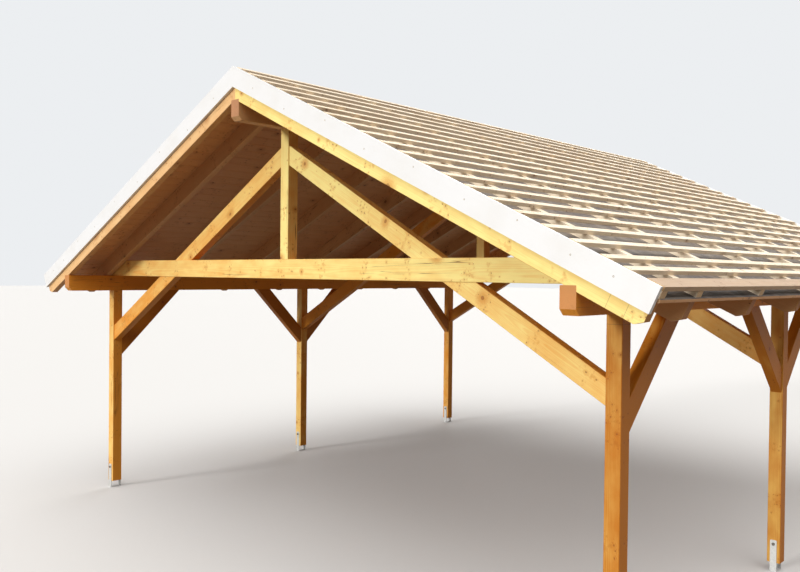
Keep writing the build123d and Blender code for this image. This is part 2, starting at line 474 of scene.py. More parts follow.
@dataclass(frozen=True)
class RoofForm:
    """Slopes and layers of the roof, in metres, u down the slope and v square to it."""

    pitch: float = math.radians(25.0)
    apex_z: float = 3.67624
    tail_u: float = 3.76252
    sheathing_lap: float = 0.028
    verge_y: float = 3.3175
    rafter_top: float = 0.150
    sheathing_top: float = 0.170
    batten_top: float = 0.235

    def point(self, side: Side, u: float, y: float, v: float) -> Vector:
        """Point of a slope.

        Args:
            side: which slope.
            u: distance down the slope from the apex of the rafters' undersides.
            y: distance along the building.
            v: height square to the slope above the rafters' underside.

        Returns:
            The point in the part's frame.
        """
        apex = Vector((0.0, y, self.apex_z))
        return apex + self.down(side) * u + self.normal(side) * v

    def down(self, side: Side) -> Vector:
        """Unit vector down a slope."""
        return Vector((side.value * math.cos(self.pitch), 0.0, -math.sin(self.pitch)))

    def normal(self, side: Side) -> Vector:
        """Unit vector square to a slope, upwards."""
        return Vector((side.value * math.sin(self.pitch), 0.0, math.cos(self.pitch)))

    def ridge_u(self, v: float) -> float:
        """The u at which the two slopes meet at a height v."""
        return -v * math.tan(self.pitch)

    def matrix(self, side: Side, v: float) -> Matrix:
        """Frame of a slope at a height v, with X down the slope and Z square to it.

        Args:
            side: which slope.
            v: height of the frame's origin above the rafters' underside.

        Returns:
            The matrix from that frame to the part's, turned and never mirrored.
        """
        down, up = self.down(side), self.normal(side)
        turn = Matrix((down, up.cross(down), up)).transposed()
        return Matrix.Translation(self.point(side, 0.0, 0.0, v)) @ turn.to_4x4()


@dataclass(frozen=True)
class Lines:
    """Lines of the trusses and rafters along the building, in metres."""

    front: float = -2.7825
    middle: float = -0.1925
    rear: float = 2.7825
    setoff: float = 0.095
    front_spaces: int = 3
    rear_spaces: int = 4
    post_x: float = 3.0
    cell_start: float = -3.2
    cell: float = 0.78

    @property
    def trusses(self) -> dict[str, float]:
        """Middle line of each truss by its place."""
        return {"front": self.front, "middle": self.middle, "rear": self.rear}

    @property
    def rafters(self) -> list[float]:
        """Middle lines of the rafters between the verges.

        Returns:
            The y of each line, from the front to the rear.
        """
        step = (self.middle - self.front) / self.front_spaces
        lines = [self.front - self.setoff + step * index for index in range(self.front_spaces)]
        step = (self.rear - self.middle) / self.rear_spaces
        lines += [self.middle - self.setoff + step * index for index in range(self.rear_spaces)]
        return lines + [self.rear - self.setoff]

    def cells(self, node: str) -> dict[str, float]:
        """Start and pitch that give each timber along the building a figure of its own."""
        return {"start": self.cell_start - middle_of(node).y, "pitch": self.cell}


ROOF = RoofForm()
LINES = Lines()


@dataclass(frozen=True)
class TimberFinish:
    """Finish of sawn or planed softwood, stained or raw.

    light and dark are the early and the late wood. The side shade is painted shade: how much darker a face
    is made that doesn't look to the front.
    """

    name: str
    light: tuple
    dark: tuple
    knot: tuple
    end: tuple
    ring_width: float = 0.0045
    rings: float = 0.16
    blotches: float = 0.9
    knot_size: float = 0.011
    checks: float = 1.0
    bump: float = 0.5
    bump_distance: float = 0.0016
    coat: float = 0.0
    coat_roughness: float = 0.35
    specular: float = 0.2
    side_tone: float = 0.0

    def material(
        self,
        groups: ShaderGroups,
        label: str,
        axes: Matrix,
        centre: Vector,
        seed: float,
        tone: float,
        fade: float = 0.0,
        marks: tuple = (),
        start: float = 0.0,
        pitch: float = 0.0,
        folded: bool = False,
    ) -> Material:
        """Material for the timbers of one node.

        Args:
            groups: the shared shader groups.
            label: name of the piece, for the material's name.
            axes: rows are the timber's own X, Y and Z, the grain along Z.
            centre: middle of the timber.
            seed: number that sets this piece's figure.
            tone: place between the light colour and the dark one, 0 to 1.
            fade: change of the tone with each metre along the grain.
            marks: carpenter's pencil lines across the timber, metres from its middle.
            start: where the first of several like pieces begins, along the timber's X.
            pitch: spacing of the like pieces along X, 0 for a single piece.
            folded: whether the braces of a bay are folded onto one direction.

        Returns:
            The finished material.
        """
        material, graph = new_material(f"{self.name}_{label}")
        source = graph.add("ShaderNodeTexCoord")
        point, normal, index = source["Object"], source["Normal"], 0.0
        # Painted shade: a face that doesn't look to the front (-Y) gets a darker tone by the side shade
        front = graph.math("MULTIPLY", normal.split()[1], -1.0, use_clamp=True)
        depth = front * -self.side_tone + (tone + self.side_tone)
        if folded:
            point, normal, index = self._fold(graph, point, normal)
        turn = axes.to_euler()
        values = {"Vector": point, "Location": -(axes @ centre), "Rotation": turn}
        placed = graph.add("ShaderNodeMapping", values)
        if pitch:
            cells = graph.group(groups.cells, {"Vector": placed, "Start": start, "Pitch": pitch})
            placed, index = cells["Vector"], cells["Index"]
        aim = graph.add("ShaderNodeMapping", {"Vector": normal, "Rotation": turn})
        own = ("light", "dark", "knot", "end", "ring_width", "rings", "blotches", "knot_size", "checks")
        values = {name.replace("_", " ").title(): getattr(self, name) for name in own}
        values |= {"Vector": placed, "Normal": aim, "Index": index}
        values |= {"Seed": seed, "Tone": depth, "Fade": fade}
        figure = graph.group(groups.figure, values)
        colour = figure["Color"]
        for mark in marks:
            line = 1.0 - abs(placed.split()[2] - mark).between(*PENCIL_EDGES)
            colour = graph.mixed(line * PENCIL_STRENGTH, colour, PENCIL_LINE)
        values = {"Height": figure["Height"], "Strength": self.bump, "Distance": self.bump_distance}
        graph.give({
            "Base Color": colour,
            "Roughness": figure["Roughness"],
            "Normal": graph.add("ShaderNodeBump", values),
            "Coat Weight": self.coat,
            "Coat Roughness": self.coat_roughness,
            "Specular IOR Level": self.specular,
        })
        return material

    @staticmethod
    def _fold(graph: Graph, point: Value, normal: Value) -> tuple[Value, Value, Value]:
        """Fold the braces of each bay onto the brace that rises towards the rear.

        Args:
            graph: the material's graph.
            point: object coordinates.
            normal: object normal.

        Returns:
            The folded point, the folded normal and the brace's number.
        """
        x, y, z = point.split()
        rear_bay = y > LINES.middle
        front_middle = (LINES.front + LINES.middle) / 2
        rear_middle = (LINES.middle + LINES.rear) / 2
        offset = y - (rear_bay * (rear_middle - front_middle) + front_middle)
        second = offset > 0.0
        n_x, n_y, n_z = normal.split()
        folded_normal = graph.joined(n_x, n_y * (second * -2.0 + 1.0), n_z)
        return graph.joined(x, abs(offset) * -1.0, z), folded_normal, rear_bay * 2.0 + second


FRAME_STAIN = TimberFinish(
    "honey_stained_spruce",
    light=srgb(252, 233, 150), dark=srgb(230, 151, 52), knot=srgb(132, 62, 24), end=srgb(196, 136, 88),
    coat=0.05, side_tone=0.5,
)
# Paler, pinker copy of the frame stain for the left verge rafters: partly their own colour, partly painted
# shade of the barge board over them.
PALE_VERGE_STAIN_PAINTED_SHADE = replace(
    FRAME_STAIN,
    name="pale_stained_spruce", light=srgb(238, 200, 146), dark=srgb(212, 152, 90), side_tone=0.3,
)
# Deeper copy of the frame stain for the right-hand posts and all knee braces: partly a darker stain, partly
# painted shade of the trees on the right and of the eaves.
DEEP_STAIN_PAINTED_SHADE = replace(
    FRAME_STAIN,
    name="deep_stained_spruce", light=srgb(240, 204, 110), dark=srgb(188, 114, 30),
)
SOFFIT_STAIN = TimberFinish(
    "stained_soffit_boards",
    light=srgb(230, 180, 130), dark=srgb(206, 152, 104), knot=srgb(96, 52, 26), end=srgb(150, 118, 84),
    ring_width=0.006, blotches=0.5, knot_size=0.010, checks=0.3,
)
RAFTER_STAIN = TimberFinish(
    "stained_inner_rafters",
    light=srgb(222, 179, 130), dark=srgb(200, 153, 104), knot=srgb(96, 52, 26), end=srgb(184, 132, 98),
    blotches=0.7,
)
RAW_BATTEN = TimberFinish(
    "raw_spruce_laths",
    light=srgb(251, 237, 213), dark=srgb(232, 200, 162), knot=srgb(124, 72, 48),
    end=srgb(222, 188, 146), ring_width=0.0038, knot_size=0.009, checks=0.5, bump=0.8,
)
EAVES_BOARD = TimberFinish(
    "sawn_eaves_boards",
    light=srgb(192, 164, 132), dark=srgb(170, 138, 106), knot=srgb(112, 66, 40),
    end=srgb(206, 168, 120), knot_size=0.010, checks=0.6, bump=0.8,
)


@dataclass(frozen=True)
class PlainFinish:
    """Finish of a surface that isn't timber."""

    name: str
    colour: tuple
    second: tuple
    roughness: float
    metallic: float = 0.0
    pattern_scale: float = 40.0
    fine_scale: float = 900.0
    bump: float = 0.2
    bump_distance: float = 0.0006
    rough_spread: float = 0.16
    dust: float = 0.2
    dust_roughness: float = 0.3
    specks: float = 0.0

    def material(self, groups: ShaderGroups) -> Material:
        """Material with a two-colour pattern, a fine bump and site dust.

        Args:
            groups: the shared shader groups.

        Returns:
            The finished material.
        """
        material, graph = new_material(self.name)
        point = graph.add("ShaderNodeTexCoord")["Object"]
        pattern, height = self.pattern(graph, point)
        values = {
            "Vector": point,
            "Color": graph.mixed(pattern, self.colour, self.second),
            "Dust": DUST_COLOUR,
            "Speck": SPECK_COLOUR,
            "Amount": self.dust,
            "Specks": self.specks,
        }
        dusty = graph.group(groups.dust, values)
        rough = pattern * self.rough_spread + (self.roughness - 0.06)
        values = {"Height": height, "Strength": self.bump, "Distance": self.bump_distance}
        graph.give({
            "Base Color": dusty["Color"],
            "Roughness": graph.math("ADD", dusty["Mask"] * self.dust_roughness, rough, use_clamp=True),
            "Normal": graph.add("ShaderNodeBump", values),
            "Metallic": self.metallic,
        })
        return material

    def pattern(self, graph: Graph, point: Value) -> tuple[Value, Value]:
        """Mask of the second colour and bump height at a point in object coordinates."""
        broad = graph.noise(point, self.pattern_scale, 4.0)
        return broad.between(0.35, 0.65), broad * 0.4 + graph.noise(point, self.fine_scale)


@dataclass(frozen=True)
class ZincFinish(PlainFinish):
    """Hot-dip zinc with its spangle."""

    def pattern(self, graph: Graph, point: Value) -> tuple[Value, Value]:
        """Spangle mask and height.

        Args:
            graph: the material's graph.
            point: object coordinates.

        Returns:
            The mask and the height.
        """
        bent = point + graph.noise(point, 90.0)[1] * 0.01
        flake = graph.spots({"Vector": bent, "Scale": self.pattern_scale})
        return flake["Color"].split()[0], flake * 0.3 + graph.noise(point, self.fine_scale)


@dataclass(frozen=True)
class PaintFinish(PlainFinish):
    """Brushed white paint with strokes down the slope."""

    def pattern(self, graph: Graph, point: Value) -> tuple[Value, Value]:
        """Brush strokes that run with the board.

        Args:
            graph: the material's graph.
            point: object coordinates.

        Returns:
            The mask and the height.
        """
        x, y, z = point.split()
        cosine, sine = math.cos(ROOF.pitch), math.sin(ROOF.pitch)
        down = abs(x) * cosine - z * sine
        place = graph.joined(down * 0.02, y, abs(x) * sine + z * cosine)
        cloud = graph.noise(point, self.pattern_scale, 3.0)
        return cloud.between(0.4, 0.7), cloud * 0.4 + graph.noise(place, 190.0, 4.0)


UNDERLAY_SHEET = PlainFinish(
    "roof_underlay",
    colour=srgb(92, 86, 84), second=srgb(134, 127, 120), roughness=0.75, pattern_scale=9.0,
    fine_scale=700.0, bump=0.5, dust=0.35, specks=1.0,
)
GALVANISED = ZincFinish(
    "galvanised_steel",
    colour=srgb(210, 212, 210), second=srgb(198, 201, 201), roughness=0.5, metallic=0.4,
    pattern_scale=95.0, bump=0.15, dust=0.25,
)
WHITE_PAINT = PaintFinish(
    "white_barge_paint",
    colour=srgb(230, 232, 234), second=srgb(225, 226, 226), roughness=0.42, pattern_scale=3.0,
    bump=0.35, bump_distance=0.0008, dust=0.06,
)
ZINC_SCREW = ZincFinish(
    "yellow_zinc_screws",
    colour=srgb(150, 124, 74), second=srgb(112, 92, 56), roughness=0.4, metallic=0.9,
    pattern_scale=600.0, dust=0.1,
)
NAIL_STEEL = replace(
    ZINC_SCREW,
    name="bright_nails", colour=srgb(128, 126, 122), second=srgb(92, 82, 72), roughness=0.45,
)


class Grain(Enum):
    """Direction of a timber's grain, with a second axis that the pieces lie along."""

    UPRIGHT = ((0, 0, 1), (0, 1, 0))
    ALONG = ((0, 1, 0), (1, 0, 0))
    ACROSS = ((1, 0, 0), (0, 1, 0))
    BRACE = ((0, 1, 1), (1, 0, 0))

    def axes(self) -> Matrix:
        """Rows are the timber's X, Y and Z."""
        return timber_axes(Vector(self.value[0]), Vector(self.value[1]))


def timber_axes(grain: Vector, beside: Vector) -> Matrix:
    """Own axes of a timber.

    Args:
        grain: direction of the grain.
        beside: direction that like pieces lie along, square to the grain.

    Returns:
        A matrix whose rows are the timber's X, Y and Z.
    """
    z_axis = grain.normalized()
    x_axis = (beside - z_axis * beside.dot(z_axis)).normalized()
    return Matrix((x_axis, z_axis.cross(x_axis), z_axis))


def middle_of(node: str) -> Vector:
    """Middle of a node's box."""
    low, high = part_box(node)
    return (low + high) / 2


def assign(obj: Object, material: Material) -> None:
    """Make a material the only one of an object."""
    obj.data.materials.clear()
    obj.data.materials.append(material)


def linked(name: str, data: ID) -> Object:
    """New object in the scene.

    Args:
        name: name of the object.
        data: its mesh, lamp or camera.

    Returns:
        The object.
    """
    obj = bpy.data.objects.new(name, data)
    bpy.context.scene.collection.objects.link(obj)
    return obj


def mesh_object(name: str, work: BMesh) -> Object:
    """Object with the mesh that was worked out.

    Args:
        name: name of the object and its mesh.
        work: the mesh in the making, freed here.

    Returns:
        The new object, linked to the scene.
    """
    bmesh.ops.recalc_face_normals(work, faces=work.faces)
    mesh = bpy.data.meshes.new(name)
    work.to_mesh(mesh)
    work.free()
    return linked(name, mesh)


def band_faces(work: BMesh, lower: list, upper: list) -> None:
    """Close the band between two rings of equally many points.

    Args:
        work: the mesh in the making.
        lower: points of the one ring in turn.
        upper: points of the other ring in the same turn.
    """
    for step, point in enumerate(lower):
        after = (step + 1) % len(lower)
        work.faces.new((point, lower[after], upper[after], upper[step]))


def turned(name: str, outline: list[tuple[float, float]], segments: int) -> Object:
    """Closed shape turned about Z, used as the pattern of a fastener.

    Args:
        name: name of the object.
        outline: (radius, height) of each ring, from the bottom up.
        segments: sides of each ring.

    Returns:
        The turned object.
    """
    work = bmesh.new()
    angles = [math.tau * step / segments for step in range(segments)]
    rings = [
        [work.verts.new((radius * math.cos(a), radius * math.sin(a), height)) for a in angles]
        for radius, height in outline
    ]
    for lower, upper in zip(rings, rings[1:]):
        band_faces(work, lower, upper)
    work.faces.new(list(reversed(rings[0])))
    work.faces.new(rings[-1])
    return mesh_object(name, work)


def grown(
    name: str,
    tree: NodeTree,
    values: dict[str, object],
    mesh: Mesh | None = None,
    thickness: float = 0.0,
) -> Object:
    """Let a geometry tree make a piece, and turn it into a plain mesh.

    Args:
        name: name of the piece.
        tree: the geometry tree.
        values: value of each named input.
        mesh: mesh that the tree starts from, where it needs one.
        thickness: wall given to a sheet, 0 for none.

    Returns:
        The finished piece, with no modifier on it.
    """
    base = linked(name + "_base", mesh or bpy.data.meshes.new(name + "_base"))
    modifier = base.modifiers.new(tree.name, "NODES")
    modifier.node_group = tree
    for item in tree.interface.items_tree:
        if item.in_out == "INPUT" and item.name in values:
            modifier[item.identifier] = values[item.name]
    if thickness:
        wall = base.modifiers.new("thickness", "SOLIDIFY")
        wall.thickness = thickness
        wall.offset = 1.0
    graph = bpy.context.evaluated_depsgraph_get()
    evaluated = base.evaluated_get(graph)
    result = bpy.data.meshes.new_from_object(evaluated, preserve_all_data_layers=True, depsgraph=graph)
    result.name = name
    bpy.data.objects.remove(base)
    return linked(name, result)


def heads_tree() -> NodeTree:
    """Tree that seats a fastener's head at each point, square to the point's aim.

    Returns:
        The geometry tree.
    """
    inputs = {"Object": "Head", "Float": "Size, Size Spread", "Int": "Seed"}
    graph = geometry_group("seated_heads", inputs)
    aim = graph.add("GeometryNodeInputNamedAttribute", {"Name": "aim"}, data_type="FLOAT_VECTOR")
    turn = graph.add("FunctionNodeAlignRotationToVector", {"Vector": aim}, axis="Z")
    draws = []
    for low, high in ((0.0, math.tau), (1.0 - graph["Size Spread"], graph["Size Spread"] + 1.0)):
        values = {2: low, 3: high, "Seed": graph["Seed"]}
        draws.append(graph.add("FunctionNodeRandomValue", values, data_type="FLOAT")[1])
    spin = graph.add("FunctionNodeEulerToRotation", {0: graph.joined(0.0, 0.0, draws[0])})
    values = {"Rotation": turn, "Rotate By": spin}
    values = {
        "Points": graph.add("GeometryNodeMeshToPoints", {"Mesh": graph["Geometry"]}),
        "Instance": graph.add("GeometryNodeObjectInfo", {"Object": graph["Head"]})["Geometry"],
        "Rotation": graph.add("FunctionNodeRotateRotation", values, rotation_space="LOCAL"),
        "Scale": graph.even(graph["Size"] * draws[1]),
    }
    return graph.finished(graph.add("GeometryNodeInstanceOnPoints", values))


def boards_tree() -> NodeTree:
    """Tree that lays rows of boards in a slope's own frame, with staggered butt joints.

    Returns:
        The geometry tree.
    """
    sizes = "Start, Cover Width, Half Length, Gap, First Joint, Near Step, Far Step, Near Steps, Direction"
    inputs = {"Object": "Board", "Int": "Rows, Steps, Seed", "Float": sizes}
    graph = geometry_group("board_rows", inputs)
    row = graph.add("GeometryNodeInputIndex")
    values = {4: 1, 5: graph["Steps"], "ID": row, "Seed": graph["Seed"]}
    choice = graph.add("FunctionNodeRandomValue", values, data_type="INT")[2]
    near = graph.math("MINIMUM", choice, graph["Near Steps"])
    far = graph.most(choice - graph["Near Steps"], 0.0)
    joint = near * graph["Near Step"] + graph["First Joint"] + far * graph["Far Step"]
    joint = joint * graph["Direction"]
    down = row * graph["Cover Width"] + graph["Start"] + graph["Cover Width"] * 0.5
    rows = []
    for sign in (-1.0, 1.0):
        end = graph["Half Length"] * sign
        length = abs(end - joint) - graph["Gap"]
        line = graph.add("GeometryNodeMeshLine", {"Count": graph["Rows"]})
        values = {"Geometry": line, "Position": graph.joined(down, (end + joint) * 0.5, 0.0)}
        values = {
            "Points": graph.add("GeometryNodeSetPosition", values),
            "Instance": graph.add("GeometryNodeObjectInfo", {"Object": graph["Board"]})["Geometry"],
            "Scale": graph.joined(graph["Cover Width"], length, 1.0),
        }
        rows.append(graph.add("GeometryNodeInstanceOnPoints", values))
    together = graph.add("GeometryNodeJoinGeometry")
    for part in reversed(rows):
        graph.feed(together.socket.node.inputs[0], part)
    return graph.finished(together)


def sheet_tree() -> NodeTree:
    """Tree that lays a lapped sheet with slight creases in a slope's own frame.

    Returns:
        The geometry tree.
    """
    sizes = "Length, Width, Start, Strip, First Strip, Lap Step, Crease Height, Crease Scale, Seed"
    graph = geometry_group("laid_sheet", {"Float": sizes, "Int": "Cells Down, Cells Along"})
    values = {
        "Size X": graph["Length"],
        "Size Y": graph["Width"],
        "Vertices X": graph["Cells Down"],
        "Vertices Y": graph["Cells Along"],
    }
    grid = graph.add("GeometryNodeMeshGrid", values)
    x, y, _ = graph.add("GeometryNodeInputPosition").split()
    down = x + graph["Length"] * 0.5
    strip = graph.math("FRACT", (down + graph["First Strip"]) / graph["Strip"])
    step = graph.math("POWER", strip, 6.0) * graph["Lap Step"]
    place = graph.joined(x, y * 0.6, graph["Seed"])
    values = {"Vector": place, "Scale": graph["Crease Scale"], "Detail": 3.0, "Distortion": 0.6}
    fold = graph.add("ShaderNodeTexNoise", values).between(0.45, 0.7)
    position = graph.joined(down + graph["Start"], y, fold * graph["Crease Height"] + step)
    moved = graph.add("GeometryNodeSetPosition", {"Geometry": grid, "Position": position})
    return graph.finished(graph.add("GeometryNodeSetShadeSmooth", {"Geometry": moved}))


@dataclass
class Workshop:
    """What every sub-assembly needs: the CAD nodes, the shared groups and the trees."""

    nodes: dict
    groups: ShaderGroups
    heads: NodeTree
    boards: NodeTree
    sheet: NodeTree
    size_spread: float = 0.04

    def dress(self, node: str, finish: TimberFinish, axes: Matrix, **values: object) -> None:
        """Give a CAD node its timber finish.

        Args:
            node: name of the node.
            finish: the timber finish.
            axes: the timber's own axes.
            values: centre, seed, tone and the like for the finish.
        """
        values.setdefault("centre", middle_of(node))
        assign(self.nodes[node], finish.material(self.groups, node, axes, **values))
        log.info("dressed %s", node)

    def seat_heads(
        self,
        name: str,
        head: Object,
        seats: list[tuple[Vector, Vector]],
        finish: Material,
        seed: int,
    ) -> Object:
        """Seat fastener heads as one piece.

        Args:
            name: name of the piece.
            head: pattern of one head.
            seats: point and outward direction of each head.
            finish: material of the heads.
            seed: seed of their turn and size.

        Returns:
            The joined piece.
        """
        mesh = bpy.data.meshes.new(name + "_seats")
        mesh.from_pydata([tuple(point) for point, _ in seats], [], [])
        aim = mesh.attributes.new("aim", "FLOAT_VECTOR", "POINT")
        for item, (_, direction) in zip(aim.data, seats):
            item.vector = direction
        values = {"Head": head, "Size": 1.0, "Size Spread": self.size_spread}
        values |= {"Seed": seed, "Finish": finish}
        piece = grown(name, self.heads, values, mesh)
        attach(piece, BODY)
        log.info("seated %d heads on %s", len(seats), name)
        return piece


@dataclass
class Trusses:
    """Tie beams, king posts and the diagonals that cross the ties."""

    shop: Workshop
    run_x: float = 2.90
    fall_z: float = 1.61724
    # The middle and rear trusses get a darker tone than the front one, partly painted shade of the roof
    # over them.
    tones: tuple = (("front", 0.0), ("middle", 0.32), ("rear", 0.35))
    tie_tone: float = 0.3
    tie_fade: float = -0.09
    king_tone: float = 0.12
    left_tone: float = 0.7
    right_tone: float = 0.25
    # Painted light: the diagonals are made lighter towards their upper ends, where the roof shades them.
    diagonal_fade: float = 0.16

    def build(self) -> None:
        """Dress the timbers of the three trusses."""
        dress = self.shop.dress
        across, upright = Grain.ACROSS.axes(), Grain.UPRIGHT.axes()
        for number, (place, tone) in enumerate(self.tones):
            seed = 3.7 * number + 1.0
            values = {"seed": seed, "tone": tone + self.tie_tone, "fade": self.tie_fade}
            dress(f"tie_beam_{place}", FRAME_STAIN, across, **values)
            values = {"seed": seed + 0.9, "tone": tone + self.king_tone}
            dress(f"king_post_{place}", FRAME_STAIN, upright, **values)
            for side, own_tone in ((Side.LEFT, self.left_tone), (Side.RIGHT, self.right_tone)):
                run = Vector((side.value * self.run_x, 0.0, -self.fall_z))
                values = {"seed": seed + 1.8 + side.value, "tone": tone + own_tone}
                values["fade"] = self.diagonal_fade
                node = f"diagonal_{place}_{side.word}"
                dress(node, FRAME_STAIN, timber_axes(run, ALONG_Y), **values)


@dataclass
class Posts:
    """Posts with their shoes and the bolts through the straps."""

    shop: Workshop
    strap_face: float = 0.055
    bolt_height: float = 0.218
    washer_radius: float = 0.012
    washer_thickness: float = 0.0022
    hexagon_radius: float = 0.011
    head_height: float = 0.0075
    nut_height: float = 0.010
    chamfer_height: float = 0.001
    chamfer_share: float = 0.88
    scribe_height: float = 2.068
    usual_tone: float = 0.9

    def build(self) -> None:
        """Dress the posts and shoes, and bolt the straps."""
        tones = {"front_right": 0.8, "front_left": 0.52, "middle_left": 0.48, "middle_right": 0.6}
        for number, place in enumerate(LINES.trusses):
            for side in Side:
                key = f"{place}_{side.word}"
                node = "post_" + key
                seed = 20.3 + 2.1 * number + 0.7 * side.value
                values = {"tone": tones.get(key, self.usual_tone), "seed": seed}
                if key == "front_right":
                    values["marks"] = (self.scribe_height - middle_of(node).z,)
                # The right-hand posts take the deeper stain, partly painted shade.
                finish = FRAME_STAIN if side is Side.LEFT else DEEP_STAIN_PAINTED_SHADE
                self.shop.dress(node, finish, Grain.UPRIGHT.axes(), **values)
        zinc = GALVANISED.material(self.shop.groups)
        steel = NAIL_STEEL.material(self.shop.groups)
        kinds = (("heads", self.head_height, -1.0), ("nuts", self.nut_height, 1.0))
        for side in Side:
            assign(self.shop.nodes["post_shoes_" + side.word], zinc)
            for name, height, direction in kinds:
                pattern = self._hexagon("bolt_" + name, height)
                seats = []
                for y in LINES.trusses.values():
                    face = y + direction * self.strap_face
                    point = Vector((side.value * LINES.post_x, face, self.bolt_height))
                    seats.append((point, ALONG_Y * direction))
                self.shop.seat_heads(f"shoe_bolt_{name}_{side.word}", pattern, seats, steel, seed=5)
                bpy.data.objects.remove(pattern)

    def _hexagon(self, name: str, height: float) -> Object:
        """Hexagon on its washer, with the turned chamfer of its top.

        Args:
            name: name of the pattern.
            height: height of the hexagon above the washer.

        Returns:
            The pattern object.
        """
        low, top, wide = self.washer_thickness, self.washer_thickness + height, self.hexagon_radius
        disc = [(self.washer_radius, 0.0), (self.washer_radius, low)]
        body = [(wide, low), (wide, top - self.chamfer_height), (wide * self.chamfer_share, top)]
        work = bmesh.new()
        for outline, segments in ((disc, 24), (body, 6)):
            part = turned(name + "_part", outline, segments)
            work.from_mesh(part.data)
            bpy.data.objects.remove(part)
        return mesh_object(name, work)


@dataclass
class Purlins:
    """Eave purlins, ridge purlin and the knee braces under the eaves."""

    shop: Workshop
    brace_y: float = -0.9
    brace_z: float = 1.83
    eave_tone: float = 0.85
    brace_tone: float = 0.9
    ridge_tone: float = 0.9

    def build(self) -> None:
        """Dress the purlins and the braces."""
        dress = self.shop.dress
        along = Grain.ALONG.axes()
        for side in Side:
            values = {"seed": 31.0 + side.value, "tone": self.eave_tone}
            dress(f"eave_purlin_{side.word}", FRAME_STAIN, along, **values)
            centre = Vector((side.value * LINES.post_x, self.brace_y, self.brace_z))
            values = {"seed": 44.0 + side.value, "tone": self.brace_tone}
            values |= {"folded": True, "centre": centre}
            # The braces take the deeper stain, partly painted shade.
            dress(f"knee_braces_{side.word}", DEEP_STAIN_PAINTED_SHADE, Grain.BRACE.axes(), **values)
        dress("ridge_purlin", RAFTER_STAIN, along, seed=35.0, tone=self.ridge_tone)


@dataclass
class Rafters:
    """Verge rafters and inner rafters of both slopes."""

    shop: Workshop
    scribes: tuple = (3.545, 3.655)
    usual_tone: float = 0.3
    inner_tone: float = 0.5

    def build(self) -> None:
        """Dress every rafter with its grain down the slope."""
        # The front left verge rafter gets a darker tone than the front right one: painted shade of the
        # barge board over it.
        tones = {"front_left": 0.36, "front_right": 0.03}
        for side in Side:
            down = ROOF.down(side)
            axes = timber_axes(down, ALONG_Y)
            for end in ("front", "rear"):
                key = f"{end}_{side.word}"
                node = "verge_rafter_" + key
                seed = 51.0 + len(key) * 1.3 + side.value
                values = {"tone": tones.get(key, self.usual_tone), "seed": seed}
                if key == "front_right":
                    middle = down.dot(middle_of(node) - ROOF.point(side, 0.0, 0.0, 0.0))
                    values["marks"] = tuple(u - middle for u in self.scribes)
                finish = PALE_VERGE_STAIN_PAINTED_SHADE if side is Side.LEFT else FRAME_STAIN
                self.shop.dress(node, finish, axes, **values)
            node = "rafters_" + side.word
            values = {"seed": 61.0 + side.value, "tone": self.inner_tone} | LINES.cells(node)
            self.shop.dress(node, RAFTER_STAIN, axes, **values)


@dataclass
class Sheathing:
    """Soffit boards in rows along the building, with a V joint below."""

    shop: Workshop
    rows: int = 33
    bevel: float = 0.004
    gap: float = 0.0008
    tone: float = 0.5

    def _board(self, cover: float) -> Object:
        """Pattern of one board, one wide and one long, its arrises bevelled below.

        Args:
            cover: cover width that the pattern is later scaled to.

        Returns:
            The pattern object, its underside at Z = 0.
        """
        thick = ROOF.sheathing_top - ROOF.rafter_top
        side = self.bevel / cover
        outline = [(-0.5 + side, 0.0), (0.5 - side, 0.0), (0.5, self.bevel), (0.5, thick)]
        outline += [(-0.5, thick), (-0.5, self.bevel)]
        work = bmesh.new()
        front, rear = [[work.verts.new((x, y, z)) for x, z in outline] for y in (-0.5, 0.5)]
        work.faces.new(front)
        work.faces.new(list(reversed(rear)))
        band_faces(work, rear, front)
        return mesh_object("board_pattern", work)

    def build(self) -> None:
        """Lay the boards of both slopes in place of the plain slabs."""
        start = ROOF.ridge_u(ROOF.rafter_top)
        cover = (ROOF.tail_u + ROOF.sheathing_lap - start) / self.rows
        board = self._board(cover)
        lines = LINES.rafters
        values = {
            "Board": board, "Rows": self.rows, "Start": start, "Cover Width": cover, "Gap": self.gap,
            "Half Length": ROOF.verge_y, "First Joint": lines[0], "Steps": len(lines) - 2,
            "Near Step": lines[1] - lines[0], "Far Step": lines[4] - lines[3],
            "Near Steps": float(LINES.front_spaces),
        }
        for side in Side:
            axes = timber_axes(ALONG_Y, ROOF.down(side))
            looks = {"seed": 71.0 + side.value, "tone": self.tone, "pitch": cover}
            looks["centre"] = ROOF.point(side, start, 0.0, ROOF.rafter_top)
            values["Finish"] = SOFFIT_STAIN.material(self.shop.groups, side.word, axes, **looks)
            values |= {"Direction": float(side.value), "Seed": 7 + side.value}
            piece = grown(f"sheathing_boards_{side.word}", self.shop.boards, values)
            piece.data.transform(ROOF.matrix(side, ROOF.rafter_top))
            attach(piece, BODY)
            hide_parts(f"sheathing_{side.word}")
            log.info("laid %s", piece.name)
        bpy.data.objects.remove(board)


